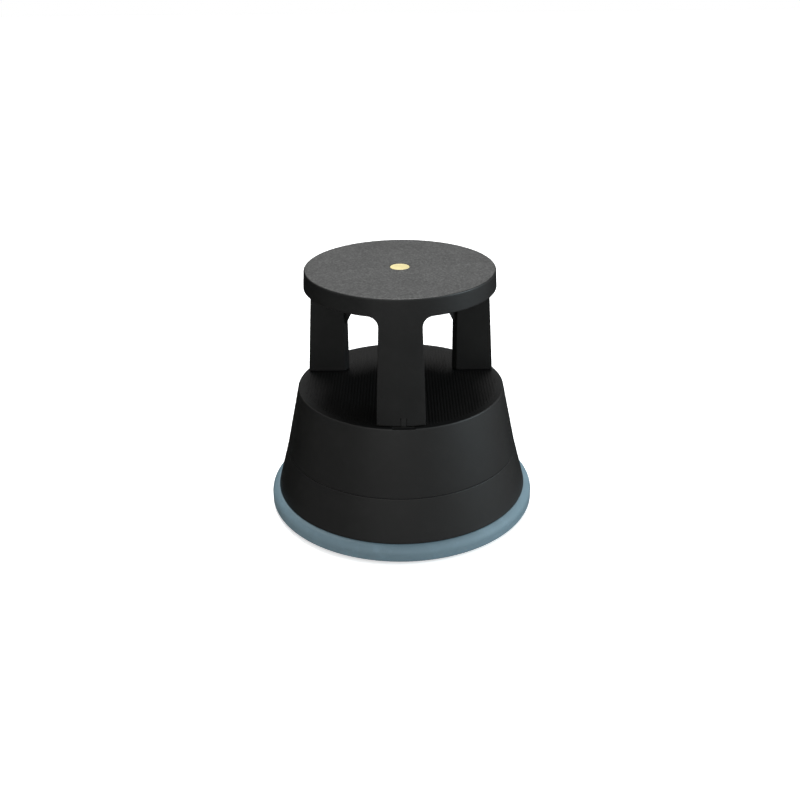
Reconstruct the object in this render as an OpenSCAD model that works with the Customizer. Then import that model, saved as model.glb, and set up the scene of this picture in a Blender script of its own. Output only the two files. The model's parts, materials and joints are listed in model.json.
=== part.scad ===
// Round two-level rolling step stool with three sprung castors that retract under load.
// Origin: centre of the footprint on the floor. +Z is up and one leg points to -Y.

/* [Heights] */
// Gap between the floor and the bumper ring while the castors carry the stool
castor_gap = 5; // [4:0.5:6]
// Height of the bumper ring
ring_height = 25; // [22:1:30]
// Height of the skirt above the bumper ring, up to the seam
skirt_height = 71; // [58:1:86]
// Height of the lower step above the seam
cone_height = 110.5; // [90:0.5:140]
// Height from the lower tread to the top tread
top_rise = 203.5; // [165:0.5:250]
// Height of the rim of the top disc
rim_height = 29; // [22:1:36]

/* [Radii] */
// Outer radius of the bumper ring
ring_radius = 227; // [222:1:275]
// Width of the bumper ring outside the skirt's foot
ring_width = 12.4; // [10:0.2:16]
// Outer radius at the seam
seam_radius = 196; // [190:1:205]
// Outer radius of the lower tread
tread_radius = 172.4; // [170:0.2:185]
// Outer radius of the legs at their feet
foot_radius = 165.6; // [160:0.2:167]
// Outer radius of the top disc at its upper edge
top_radius = 153.4; // [140:0.2:158]
// Radius of the cap in the middle of the top
cap_radius = 15.6; // [12:0.2:22]

/* [Walls] */
// Wall of the mouldings
wall = 3; // [2.4:0.1:3.6]
// Thickness of the top plate
plate_thickness = 4; // [3.5:0.5:6]
// Thickness of the lower tread plate
tread_thickness = 3.5; // [3:0.5:5]
// Thickness of the reinforcing ribs
rib_thickness = 2.4; // [2:0.2:3]
// Radius of the rounded top and tread edges
edge_radius = 2.2; // [1.2:0.2:3]

/* [Legs] */
// Distance from the stool's axis to the plane of each leg side
leg_side_offset = 47.15; // [42:0.05:50]
// Radius of the flat inner face of the legs
leg_inner_radius = 107; // [104:0.5:110]
// Radius of the arch corners between legs and rim
arch_radius = 16; // [8:0.5:20]
// Shadow gap between the feet and the lower tread
foot_gap = 1.4; // [1.2:0.1:3]
// Depth of the haunch webs below the rim's lower edge
haunch_drop = 89; // [60:1:110]
// Radius at which the haunch webs meet the underside
haunch_reach = 60; // [50:1:80]
// Height of the locating collars inside the feet
collar_height = 10; // [6:0.5:14]
// Clearance between collars and legs
collar_clearance = 0.4; // [0.3:0.05:0.8]

/* [Tread ribs] */
// Distance between the grip ribs of the lower tread
grip_pitch = 5; // [4:0.5:8]
// Width of a grip rib
grip_width = 2.6; // [2:0.1:3.4]
// Height of the grip ribs
grip_height = 0.8; // [0.5:0.1:1.2]
// Plain margin round the grip ribs
grip_margin = 12; // [8:1:18]

/* [Castors] */
// Radius of the circle of castors
castor_circle = 146; // [135:1:150]
// Wheel radius
wheel_radius = 20; // [16:0.5:24]
// Width of each wheel
wheel_width = 12; // [10:0.5:13]
// Horizontal distance from the swivel axis to the axle
castor_trail = 12; // [9:0.5:14]
// Radius of the axle
axle_radius = 3; // [2.5:0.1:3.4]
// Radius of the sliding stem
stem_radius = 5; // [4.6:0.1:6]
// Radius of the swivel pin below the spring seat
pin_radius = 4; // [3.5:0.1:4.2]
// Radial clearance of the running fits
running_clearance = 0.06; // [0.03:0.01:0.09]
// Upward travel of the castors
castor_travel = 6; // [5:0.5:7]
// Wire diameter of the springs
spring_wire = 1.6; // [1.2:0.1:2]
// Turns of each spring
spring_turns = 6.5; // [5:0.5:8]

/* [Fasteners] */
// Shank radius of the leg and base screws
screw_radius = 2; // [1.8:0.1:2.3]
// Shank radius of the housing screws
housing_screw_radius = 1.7; // [1.5:0.1:1.9]
// Clearance between a screw and its pilot bore
pilot_clearance = 0.1; // [0.05:0.05:0.2]
// Clearance between a screw and a through hole
hole_clearance = 0.6; // [0.4:0.1:0.8]

/* [Hidden] */
$fn = 96;

// Colours of the pieces
body_black = [0.13, 0.13, 0.13];
inner_black = [0.10, 0.10, 0.10];
ring_blue = [0.42, 0.50, 0.56];
cap_yellow = [0.97, 0.91, 0.68];
steel_grey = [0.72, 0.73, 0.75];
wheel_grey = [0.30, 0.31, 0.32];

// Small overlap for clean cuts
eps = 0.5;

// Levels of the mouldings
ring_z = castor_gap;
foot_z = ring_z + ring_height;
seam_z = foot_z + skirt_height;
tread_z = seam_z + cone_height;
top_z = tread_z + top_rise;
rim_z = top_z - rim_height;
plate_z = top_z - plate_thickness;
leg_z = tread_z + foot_gap;
flange_thickness = 4;
flange_z = seam_z - flange_thickness;
castor_plate_thickness = 4;
castor_plate_z = flange_z - castor_plate_thickness;

// Radii of the base
skirt_radius = ring_radius - ring_width;
ring_seat_radius = skirt_radius - 6.6;
ring_lip = 6;
ring_lip_height = 3;
flange_inner_radius = seam_radius - 24;
plate_outer_radius = seam_radius - 8;
plate_inner_radius = 60;
plate_lip = 12;
seam_chamfer = 1;
foot_chamfer = 1.2;

// Directions of the three legs, and of the castors below them
leg_angles = [-90, 30, 150];
leg_half_angle = 30;

// Screws
screw_head_radius = 4.4;
screw_head_height = 3;
leg_screw_radii = [leg_inner_radius + 15, leg_inner_radius + 41];
leg_screw_length = 30;
leg_boss_radius = 6;
leg_boss_height = 45;
base_screw_circle = plate_outer_radius - 8;
base_screw_length = 26;
base_boss_radius = 5.5;
base_boss_height = 30;
base_screw_angles = [0, 60, 120, 180, 240, 300];

// The rounded corners are flat and lie this much inside the skin's faces
arch_inset = 0.2;

// Cap and its seat in the top plate
cap_gap = 0.5;
cap_thickness = 2;
cap_hole_radius = cap_radius - 2.6;
cap_stem_depth = 9;
hub_wall = 5;
underside_rib_depth = 18;

// Latch finger in the outer wall of each foot
latch_width = 8;
latch_height = 14;
latch_slit = 0.9;
latch_tip = 1;
latch_offset = 3.8;
latch_recess_width = 36;
latch_recess_depth = 1;

// Castor levels, measured from the floor under the extended castor
axle_z = wheel_radius;
yoke_top = 2 * wheel_radius + 9.5;
pin_length = 20.5;
pin_bottom = yoke_top - pin_length;
snap_z = yoke_top - 13.5;
snap_height = 1.2;
seat_thickness = 3;
seat_gap = 0.3;
seat_z = yoke_top + seat_gap;
housing_clearance = 1.3;
housing_bottom = yoke_top + castor_travel + housing_clearance;
housing_top = castor_plate_z;
housing_wall_top = 3;
spring_bottom = seat_z + seat_thickness;
spring_top = housing_top - housing_wall_top;

// Castor radii, from the stem outwards
spring_radius = stem_radius + 2.5;
seat_radius = spring_radius + 1.5;
housing_bore = seat_radius + 1.5;
housing_radius = housing_bore + 3.5;
housing_screw_circle = housing_radius + 5;
housing_flange = housing_screw_circle + 5;
housing_screw_length = 15;
clip_thickness = 1.2;
clip_radius = stem_radius + 3;
clip_gap = 0.05;
clip_groove = 0.8;
clip_hole = clip_radius + 2;
stem_top = housing_top + 4;

// Yoke and wheels
wheel_half_gap = 6.5;
web_half = wheel_half_gap - 0.5;
hood_gap = 1.5;
hood_wall = 2;
wheel_bore_depth = wheel_width - 2;
wheel_hub_wall = 4.5;
wheel_rim = 4.5;
wheel_corner = 1.8;
wheel_dish_inner = 6;
wheel_dish_outer = 3;

// Outer radius of the legs and the top disc at height z
function leg_radius(z) =
    foot_radius + (top_radius - foot_radius) * (z - tread_z) / (top_z - tread_z);

// Outer radius of the lower step at height z
function cone_radius(z) =
    seam_radius + (tread_radius - seam_radius) * (z - seam_z) / cone_height;

// Outer radius of the skirt at height z
function skirt_out(z) =
    skirt_radius + (seam_radius - skirt_radius) * (z - foot_z) / skirt_height;

// Points of an arc
function arc(x, y, r, a0, a1, n = 8) =
    [for (i = [0:n]) [x + r * cos(a0 + (a1 - a0) * i / n), y + r * sin(a0 + (a1 - a0) * i / n)]];

// ---------------------------------------------------------------- shared shapes

// Solid of revolution inside the legs' outer cone, from z0 to z1, taken in by inset
module leg_cone(z0, z1, inset) {
    translate([0, 0, z0])
        cylinder(h = z1 - z0, r1 = leg_radius(z0) - inset, r2 = leg_radius(z1) - inset);
}

// Plan of one leg pointing to +X: a blunt wedge, taken in by inset
module wedge_plan(inset) {
    apex = (leg_side_offset + inset) / sin(leg_half_angle);
    near = leg_inner_radius + inset;
    far = 260;
    near_half = (near - apex) * tan(leg_half_angle);
    far_half = (far - apex) * tan(leg_half_angle);
    polygon([[near, -near_half], [far, -far_half], [far, far_half], [near, near_half]]);
}

module wedge(z0, z1, inset) {
    translate([0, 0, z0])
        linear_extrude(height = z1 - z0)
            wedge_plan(inset);
}

// Flat web in the XZ plane with the given outline
module web(points, thickness) {
    rotate([90, 0, 0])
        translate([0, 0, -thickness / 2])
            linear_extrude(height = thickness)
                polygon(points);
}

// Screw pointing up, with its flat head below z and a cross in the head
module screw(z, shank, length, head) {
    translate([0, 0, z])
        cylinder(h = length, r = shank);
    translate([0, 0, z - screw_head_height])
        difference() {
            cylinder(h = screw_head_height, r = head);
            for (a = [0, 90])
                rotate([0, 0, a])
                    translate([-head * 0.6, -0.5, -eps])
                        cube([head * 1.2, 1, eps + 1.2]);
        }
}

// ---------------------------------------------------------------- top step

// Rounded corners in the skin, where the sides of a leg meet the rim
module arch_corners() {
    skin = leg_radius(rim_z);
    near = sqrt(pow(skin, 2) - pow(leg_side_offset, 2));
    far = sqrt(pow(skin, 2) - pow(leg_side_offset - arch_radius, 2));
    turn = atan((far - near) / arch_radius);
    slope = atan((foot_radius - top_radius) / top_rise);
    for (side = [0, 1])
        mirror([0, side, 0])
            rotate([0, 0, leg_half_angle])
                intersection() {
                    translate([0, -leg_side_offset, rim_z - arch_radius])
                        rotate([90, 0, 90])
                            linear_extrude(height = skin + wall)
                                polygon(concat(
                                    [[-1, 0]],
                                    arc(arch_radius, 0, arch_radius, 180, 90, 12),
                                    [[arch_radius, arch_radius + 1], [-1, arch_radius + 1]]
                                ));
                    translate([near, -leg_side_offset, rim_z])
                        rotate([0, 0, -turn])
                            rotate([0, -slope, 0])
                                translate([arch_inset - wall, -2, -arch_radius - 1])
                                    cube([wall - 2 * arch_inset, arch_radius + 4, arch_radius + 3]);
                }
}

// Top plate and rim, rounded at the upper edge
module top_disc() {
    rotate_extrude()
        polygon(concat(
            [[0, plate_z], [leg_radius(plate_z) - wall, plate_z]],
            [[leg_radius(rim_z) - wall, rim_z], [leg_radius(rim_z), rim_z]],
            arc(top_radius - edge_radius, top_z - edge_radius, edge_radius, 3, 90),
            [[0, top_z]]
        ));
}

// Hollow leg up to the rim, flush with it, and its walls inside the rim
module leg() {
    difference() {
        intersection() {
            leg_cone(leg_z, rim_z, 0);
            wedge(leg_z - 1, rim_z + 1, 0);
        }
        intersection() {
            leg_cone(leg_z - 1, rim_z + 1, wall);
            wedge(leg_z - 2, rim_z + 2, wall);
        }
    }
    intersection() {
        leg_cone(rim_z, plate_z + 1, wall / 2);
        difference() {
            wedge(rim_z - 1, plate_z + 2, 0);
            wedge(rim_z - 2, plate_z + 3, wall);
        }
    }
}

// Ribs and hub under the top plate
module top_ribs() {
    rib_z = plate_z - underside_rib_depth;
    rim_inner = leg_radius(rim_z) - wall;
    for (i = [0:11]) {
        to_leg = i % 4 == 0;
        end = to_leg ? leg_inner_radius + 1 : rim_inner + 0.5;
        rotate([0, 0, leg_angles[0] + i * 30])
            translate([cap_hole_radius + 2, -rib_thickness / 2, rib_z])
                cube([end - cap_hole_radius - 2, rib_thickness, underside_rib_depth + 1]);
    }
    for (r = [cap_hole_radius + hub_wall, haunch_reach + rib_thickness])
        translate([0, 0, rib_z])
            difference() {
                cylinder(h = underside_rib_depth + 1, r = r);
                translate([0, 0, -eps])
                    cylinder(h = underside_rib_depth + 2, r = r - rib_thickness);
            }
    for (a = leg_angles)
        rotate([0, 0, a])
            web([
                [leg_inner_radius + 1, rim_z - haunch_drop],
                [leg_inner_radius, rim_z - haunch_drop],
                [haunch_reach, rim_z],
                [haunch_reach, plate_z + 1],
                [leg_inner_radius + 1, plate_z + 1]
            ], rib_thickness + 1.6);
}

// Screw bosses inside a leg, tied to its end walls by one web
module leg_bosses() {
    web_z = leg_z + collar_height + 2;
    difference() {
        union() {
            for (r = leg_screw_radii)
                translate([r, 0, tread_z])
                    cylinder(h = leg_boss_height, r = leg_boss_radius);
            intersection() {
                leg_cone(web_z, tread_z + leg_boss_height, wall / 2);
                translate([leg_inner_radius + wall / 2, -rib_thickness / 2, web_z])
                    cube([100, rib_thickness, 100]);
            }
        }
        for (r = leg_screw_radii)
            translate([r, 0, tread_z - 1])
                cylinder(h = leg_screw_length, r = screw_radius + pilot_clearance);
    }
}

// Slits that free the latch finger in the outer wall of a foot
module latch_slits() {
    for (side = [-1, 1])
        translate([
            leg_radius(leg_z) - wall - 4,
            latch_offset + side * (latch_width + latch_slit) / 2 - latch_slit / 2,
            leg_z - 1
        ])
            cube([wall + 10, latch_slit, latch_height + 1]);
}

// Tip of the latch finger, a little proud and a little lower than the foot
module latch_tips() {
    proud = 0.9;
    lean = -14;
    translate([leg_radius(leg_z) - wall, latch_offset - latch_width / 2, leg_z - latch_tip])
        difference() {
            cube([wall + proud, latch_width, latch_tip + 4]);
            translate([wall + proud, -1, latch_tip + 0.5])
                rotate([0, lean, 0])
                    cube([4, latch_width + 2, 8]);
        }
}

module top_step() {
    color(body_black) {
        difference() {
            union() {
                top_disc();
                for (a = leg_angles)
                    rotate([0, 0, a]) {
                        leg();
                        arch_corners();
                    }
                top_ribs();
            }
            for (a = leg_angles)
                rotate([0, 0, a])
                    latch_slits();
            translate([0, 0, top_z - cap_thickness])
                cylinder(h = cap_thickness + 1, r = cap_radius + cap_gap);
            translate([0, 0, plate_z - underside_rib_depth - 1])
                cylinder(h = underside_rib_depth + plate_thickness, r = cap_hole_radius);
        }
        for (a = leg_angles)
            rotate([0, 0, a]) {
                leg_bosses();
                latch_tips();
            }
    }
}

// ---------------------------------------------------------------- centre cap

module center_cap() {
    stem_outer = cap_hole_radius - 0.3;
    stem_inner = stem_outer - 1.8;
    color(cap_yellow)
        rotate_extrude()
            polygon(concat(
                [[0, top_z - cap_thickness - 0.5]],
                [[stem_inner, top_z - cap_thickness - 0.5]],
                [[stem_inner, top_z - cap_thickness - cap_stem_depth]],
                [[stem_outer, top_z - cap_thickness - cap_stem_depth]],
                [[stem_outer, top_z - cap_thickness]],
                [[cap_radius, top_z - cap_thickness]],
                arc(cap_radius - 0.7, top_z - 0.7, 0.7, 0, 90, 4),
                [[0, top_z]]
            ));
}

// ---------------------------------------------------------------- lower step

// Section of the tread and the upper cone
module lower_shell() {
    side = wall / cos(atan((seam_radius - tread_radius) / cone_height));
    under_z = tread_z - tread_thickness;
    rotate_extrude()
        polygon(concat(
            [[0, under_z], [cone_radius(under_z) - side, under_z]],
            [[cone_radius(seam_z) - side, seam_z], [seam_radius - seam_chamfer, seam_z]],
            [[cone_radius(seam_z + seam_chamfer), seam_z + seam_chamfer]],
            arc(tread_radius - edge_radius, tread_z - edge_radius, edge_radius, 12, 90),
            [[0, tread_z]]
        ));
}

// Parallel grip ribs on the tread, stopped short of the legs
module grip_ribs() {
    reach = tread_radius - grip_margin;
    count = floor(reach / grip_pitch);
    translate([0, 0, tread_z - 0.1])
        linear_extrude(height = grip_height + 0.1)
            difference() {
                intersection() {
                    circle(r = reach);
                    for (i = [-count:count])
                        translate([i * grip_pitch - grip_width / 2, -reach])
                            square([grip_width, 2 * reach]);
                }
                for (a = leg_angles)
                    rotate([0, 0, a])
                        wedge_plan(-3);
            }
}

// Collar that locates one leg
module leg_collar() {
    height = foot_gap + collar_height;
    gap = wall + collar_clearance;
    difference() {
        intersection() {
            leg_cone(tread_z - 0.5, tread_z + height, gap);
            wedge(tread_z - 0.5, tread_z + height, gap);
        }
        intersection() {
            leg_cone(tread_z, tread_z + height + 1, gap + rib_thickness);
            wedge(tread_z, tread_z + height + 1, gap + rib_thickness);
        }
    }
}

// Ribs under the lower tread
module tread_underside() {
    depth = 16;
    z = tread_z - tread_thickness - depth;
    inner = cone_radius(z) - wall - 1;
    for (i = [0:11])
        rotate([0, 0, 15 + i * 30])
            web([
                [18, z], [inner - 12, z], [inner, z - 24],
                [inner + 1.5, z - 24], [inner - 2, tread_z - 1], [18, tread_z - 1]
            ], rib_thickness);
    for (r = [20, 95])
        translate([0, 0, z])
            difference() {
                cylinder(h = depth + 1, r = r);
                translate([0, 0, -eps])
                    cylinder(h = depth + 2, r = r - rib_thickness);
            }
}

// Boss for one base screw, tied to the cone's wall
module base_boss() {
    wall_gap = cone_radius(seam_z) - base_screw_circle - wall / 2;
    translate([base_screw_circle, 0, seam_z])
        difference() {
            union() {
                cylinder(h = base_boss_height, r = base_boss_radius);
                translate([0, -rib_thickness / 2, 0])
                    cube([wall_gap - 5, rib_thickness, base_boss_height]);
                translate([0, -rib_thickness / 2, 0])
                    cube([wall_gap, rib_thickness, 8]);
            }
            translate([0, 0, -1])
                cylinder(h = base_screw_length, r = screw_radius + pilot_clearance);
        }
}

module lower_step() {
    color(body_black)
        difference() {
            union() {
                lower_shell();
                grip_ribs();
                tread_underside();
                for (a = leg_angles)
                    rotate([0, 0, a])
                        leg_collar();
                for (a = base_screw_angles)
                    rotate([0, 0, a])
                        base_boss();
            }
            for (a = leg_angles)
                rotate([0, 0, a]) {
                    for (r = leg_screw_radii)
                        translate([r, 0, tread_z - 10])
                            cylinder(h = 20, r = screw_radius + hole_clearance);
                    translate([
                        leg_radius(tread_z) - 0.4,
                        latch_offset - latch_recess_width / 2,
                        tread_z - latch_recess_depth
                    ])
                        cube([40, latch_recess_width, 5]);
                }
        }
}

// ---------------------------------------------------------------- base

module base_skirt() {
    side = wall / cos(atan((skirt_radius - seam_radius) / skirt_height));
    shelf_z = foot_z + wall;
    seat_bottom = ring_z + ring_lip_height;
    color(body_black)
        difference() {
            union() {
                rotate_extrude()
                    polygon([
                        [ring_seat_radius, seat_bottom],
                        [ring_seat_radius, foot_z],
                        [skirt_radius - foot_chamfer, foot_z],
                        [skirt_out(foot_z + foot_chamfer), foot_z + foot_chamfer],
                        [skirt_out(seam_z - seam_chamfer), seam_z - seam_chamfer],
                        [seam_radius - seam_chamfer, seam_z],
                        [flange_inner_radius, seam_z],
                        [flange_inner_radius, flange_z],
                        [skirt_out(flange_z) - side, flange_z],
                        [skirt_out(shelf_z) - side, shelf_z],
                        [ring_seat_radius - wall, shelf_z],
                        [ring_seat_radius - wall, seat_bottom]
                    ]);
                for (i = [0:17])
                    rotate([0, 0, 10 + i * 20])
                        web([
                            [plate_outer_radius + 1, flange_z + 1],
                            [plate_outer_radius + 1, flange_z - 10],
                            [skirt_out(foot_z + 12) - wall - 1, foot_z + 12],
                            [skirt_out(foot_z + 12) - 1, foot_z + 12],
                            [skirt_out(flange_z) - 1, flange_z + 1]
                        ], rib_thickness);
            }
            for (a = base_screw_angles)
                rotate([0, 0, a])
                    translate([base_screw_circle, 0, flange_z - 1])
                        cylinder(h = flange_thickness + 2, r = screw_radius + hole_clearance);
        }
}

module at_castors() {
    for (a = leg_angles)
        translate([castor_circle * cos(a), castor_circle * sin(a), 0])
            children();
}

module at_housing_screws() {
    for (a = [-30, 90, 210])
        translate([housing_screw_circle * cos(a), housing_screw_circle * sin(a), 0])
            children();
}

module castor_plate() {
    rib_z = castor_plate_z - plate_lip;
    boss_height = housing_screw_length - castor_plate_thickness - 1;
    color(inner_black)
        difference() {
            union() {
                translate([0, 0, castor_plate_z])
                    cylinder(h = castor_plate_thickness, r = plate_outer_radius);
                for (r = [plate_inner_radius + wall, plate_outer_radius])
                    translate([0, 0, rib_z])
                        difference() {
                            cylinder(h = plate_lip + 1, r = r);
                            translate([0, 0, -eps])
                                cylinder(h = plate_lip + 2, r = r - wall);
                        }
                for (i = [0:17])
                    if (i % 6 != 0)
                        rotate([0, 0, leg_angles[0] + i * 20])
                            translate([plate_inner_radius + 1, -rib_thickness / 2, rib_z])
                                cube([
                                    plate_outer_radius - plate_inner_radius - 2,
                                    rib_thickness,
                                    plate_lip + 1
                                ]);
                at_castors() {
                    at_housing_screws()
                        translate([0, 0, castor_plate_z])
                            cylinder(h = castor_plate_thickness + boss_height, r = 4.5);
                    translate([0, 0, castor_plate_z])
                        cylinder(h = castor_plate_thickness + 3, r = clip_hole + wall);
                }
            }
            translate([0, 0, rib_z - 1])
                cylinder(h = plate_lip + castor_plate_thickness + 2, r = plate_inner_radius);
            at_castors() {
                translate([0, 0, castor_plate_z - 1])
                    cylinder(h = 20, r = clip_hole);
                at_housing_screws()
                    translate([0, 0, castor_plate_z - 1])
                        cylinder(h = 20, r = housing_screw_radius + pilot_clearance);
            }
            for (a = base_screw_angles)
                rotate([0, 0, a])
                    translate([base_screw_circle, 0, castor_plate_z - 1])
                        cylinder(h = castor_plate_thickness + 2, r = screw_radius + hole_clearance);
        }
}

module bumper_ring() {
    crown = ring_width + 0.6;
    crown_x = ring_radius - crown;
    crown_z = ring_z + ring_height - crown;
    heel = 2.5;
    color(ring_blue)
        rotate_extrude()
            polygon(concat(
                [[ring_seat_radius - ring_lip, ring_z]],
                arc(ring_radius - heel, ring_z + heel, heel, -90, 0, 6),
                arc(crown_x, crown_z, crown, 0, 90, 16),
                [[ring_seat_radius, foot_z]],
                [[ring_seat_radius, ring_z + ring_lip_height]],
                [[ring_seat_radius - ring_lip, ring_z + ring_lip_height]]
            ));
}

// ---------------------------------------------------------------- screws

module leg_screws() {
    color(steel_grey)
        for (a = leg_angles)
            rotate([0, 0, a])
                for (r = leg_screw_radii)
                    translate([r, 0, 0])
                        screw(tread_z - tread_thickness, screw_radius, leg_screw_length - 3, screw_head_radius);
}

module base_screws() {
    color(steel_grey)
        for (a = base_screw_angles)
            rotate([0, 0, a])
                translate([base_screw_circle, 0, 0])
                    screw(castor_plate_z, screw_radius, base_screw_length, screw_head_radius);
}

module housing_screws() {
    color(steel_grey)
        at_castors()
            at_housing_screws()
                screw(spring_top, housing_screw_radius, housing_screw_length, screw_head_radius - 0.6);
}

// ---------------------------------------------------------------- castors

module castor_housing() {
    color(inner_black)
        difference() {
            rotate_extrude()
                polygon([
                    [stem_radius + running_clearance, spring_top],
                    [housing_bore, spring_top],
                    [housing_bore, housing_bottom],
                    [housing_radius, housing_bottom],
                    [housing_radius, spring_top],
                    [housing_flange, spring_top],
                    [housing_flange, housing_top],
                    [stem_radius + running_clearance, housing_top]
                ]);
            at_housing_screws()
                translate([0, 0, spring_top - 1])
                    cylinder(h = housing_wall_top + 2, r = housing_screw_radius + 0.4);
        }
}

// Helical spring: a round wire swept along its coil
module castor_spring() {
    wire = spring_wire / 2;
    sides = 8;
    per_turn = 18;
    steps = round(spring_turns * per_turn);
    z0 = spring_bottom + wire;
    rise = spring_top - spring_bottom - 2 * wire;
    points = [
        for (i = [0:steps])
            let (a = 360 * i / per_turn)
                for (k = [0:sides - 1])
                    let (b = 360 * k / sides, r = spring_radius + wire * cos(b))
                        [r * cos(a), r * sin(a), z0 + rise * i / steps + wire * sin(b)]
    ];
    wraps = [
        for (i = [0:steps - 1])
            for (k = [0:sides - 1])
                let (p = i * sides + k, q = i * sides + (k + 1) % sides)
                    [p, q, q + sides, p + sides]
    ];
    first_end = [for (k = [sides - 1:-1:0]) k];
    last_end = [for (k = [0:sides - 1]) steps * sides + k];
    color(steel_grey)
        polyhedron(points = points, faces = concat(wraps, [first_end], [last_end]), convexity = 10);
}

module castor_stem() {
    ridge = 0.45;
    chamfer = 0.6;
    groove_top = housing_top + clip_gap + clip_thickness;
    color(steel_grey)
        rotate_extrude()
            polygon([
                [0, pin_bottom],
                [pin_radius - chamfer, pin_bottom],
                [pin_radius, pin_bottom + chamfer],
                [pin_radius, snap_z],
                [pin_radius + ridge, snap_z],
                [pin_radius + ridge, snap_z + snap_height],
                [pin_radius, snap_z + snap_height],
                [pin_radius, seat_z],
                [seat_radius, seat_z],
                [seat_radius, seat_z + seat_thickness],
                [stem_radius, seat_z + seat_thickness],
                [stem_radius, housing_top],
                [stem_radius - clip_groove, housing_top],
                [stem_radius - clip_groove, groove_top],
                [stem_radius, groove_top],
                [stem_radius, stem_top - chamfer],
                [stem_radius - chamfer, stem_top],
                [0, stem_top]
            ]);
}

module castor_clip() {
    opening = 3.2;
    color(steel_grey)
        translate([0, 0, housing_top + clip_gap])
            difference() {
                cylinder(h = clip_thickness - clip_gap, r = clip_radius);
                translate([0, 0, -eps])
                    cylinder(h = clip_thickness + 1, r = stem_radius - clip_groove + 0.05);
                translate([0, -opening / 2, -eps])
                    cube([clip_radius + 1, opening, clip_thickness + 1]);
            }
}

// Side view of the yoke's middle web, in the YZ plane
module yoke_outline() {
    back = -seat_radius + 2;
    front = seat_radius - 1;
    shoulder = yoke_top - 6;
    translate([castor_trail, axle_z])
        circle(r = wheel_radius - 6);
    polygon([
        [back, shoulder],
        [back, pin_bottom - 3],
        [castor_trail - 6, axle_z - 11],
        [castor_trail + 12, axle_z + 8],
        [front, yoke_top - 8],
        [front, shoulder]
    ]);
}

module along_x(half) {
    rotate([90, 0, 90])
        translate([0, 0, -half])
            linear_extrude(height = 2 * half)
                children();
}

module castor_yoke() {
    clear = wheel_radius + hood_gap;
    hood_half = wheel_half_gap + wheel_width;
    boss_bottom = pin_bottom + 4;
    color(inner_black)
        difference() {
            union() {
                along_x(web_half)
                    yoke_outline();
                translate([0, 0, boss_bottom])
                    cylinder(h = yoke_top - boss_bottom, r = seat_radius);
                along_x(hood_half)
                    intersection() {
                        translate([castor_trail, axle_z])
                            circle(r = clear + hood_wall);
                        hood_sector();
                    }
            }
            for (side = [0, 1])
                mirror([side, 0, 0])
                    translate([web_half, castor_trail, axle_z])
                        rotate([0, 90, 0])
                            cylinder(h = 40, r = clear);
            translate([0, castor_trail, axle_z])
                rotate([0, 90, 0])
                    cylinder(h = 40, r = axle_radius, center = true);
            translate([0, 0, pin_bottom - 0.6])
                cylinder(h = pin_length + 20, r = pin_radius + running_clearance);
            translate([0, 0, snap_z - 0.3])
                cylinder(h = snap_height + 0.6, r = pin_radius + 0.6);
        }
}

// Part of the side view that the wheel hood covers, seen from the axle
module hood_sector() {
    reach = 3 * wheel_radius;
    translate([castor_trail, axle_z])
        polygon([
            [0, 0],
            for (a = [52, 105, 160, 193])
                [reach * cos(a), reach * sin(a)]
        ]);
}

module castor_axle() {
    half = wheel_half_gap + wheel_bore_depth - 0.5;
    color(steel_grey)
        translate([-half, castor_trail, axle_z])
            rotate([0, 90, 0])
                cylinder(h = 2 * half, r = axle_radius);
}

// Wheel on the +X side: rim, dished web and a hub closed on its outer face
module castor_wheel() {
    bore = axle_radius + running_clearance;
    hub = axle_radius + wheel_hub_wall;
    rim_inner = wheel_radius - wheel_rim;
    inner = wheel_width - wheel_dish_inner;
    outer = wheel_width - wheel_dish_outer;
    crown = wheel_radius - wheel_corner;
    color(wheel_grey)
        translate([wheel_half_gap, castor_trail, axle_z])
            rotate([0, 90, 0])
                rotate_extrude()
                    polygon(concat(
                        [[0, wheel_bore_depth], [bore, wheel_bore_depth], [bore, 0], [hub, 0]],
                        [[hub, inner], [rim_inner, inner], [rim_inner, 0]],
                        arc(crown, wheel_corner, wheel_corner, -90, 0, 5),
                        arc(crown, wheel_width - wheel_corner, wheel_corner, 0, 90, 5),
                        [[rim_inner, wheel_width], [rim_inner, outer]],
                        [[hub, outer], [hub, wheel_width], [0, wheel_width]]
                    ));
}

// Puts one castor piece at its place under leg i
module at_castor(i) {
    translate([castor_circle * cos(leg_angles[i]), castor_circle * sin(leg_angles[i]), 0])
        children();
}

module castor_wheel_left() {
    mirror([1, 0, 0])
        castor_wheel();
}

top_step();
center_cap();
lower_step();
base_skirt();
castor_plate();
bumper_ring();
leg_screws();
base_screws();
housing_screws();
at_castor(0) castor_housing();  // castor_housing_1
at_castor(1) castor_housing();  // castor_housing_2
at_castor(2) castor_housing();  // castor_housing_3
at_castor(0) castor_spring();  // castor_spring_1
at_castor(1) castor_spring();  // castor_spring_2
at_castor(2) castor_spring();  // castor_spring_3
at_castor(0) castor_stem();  // castor_stem_1
at_castor(1) castor_stem();  // castor_stem_2
at_castor(2) castor_stem();  // castor_stem_3
at_castor(0) castor_clip();  // castor_clip_1
at_castor(1) castor_clip();  // castor_clip_2
at_castor(2) castor_clip();  // castor_clip_3
at_castor(0) castor_yoke();  // castor_yoke_1
at_castor(1) castor_yoke();  // castor_yoke_2
at_castor(2) castor_yoke();  // castor_yoke_3
at_castor(0) castor_axle();  // castor_axle_1
at_castor(1) castor_axle();  // castor_axle_2
at_castor(2) castor_axle();  // castor_axle_3
at_castor(0) castor_wheel_left();  // castor_wheel_left_1
at_castor(1) castor_wheel_left();  // castor_wheel_left_2
at_castor(2) castor_wheel_left();  // castor_wheel_left_3
at_castor(0) castor_wheel();  // castor_wheel_right_1
at_castor(1) castor_wheel();  // castor_wheel_right_2
at_castor(2) castor_wheel();  // castor_wheel_right_3
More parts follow.
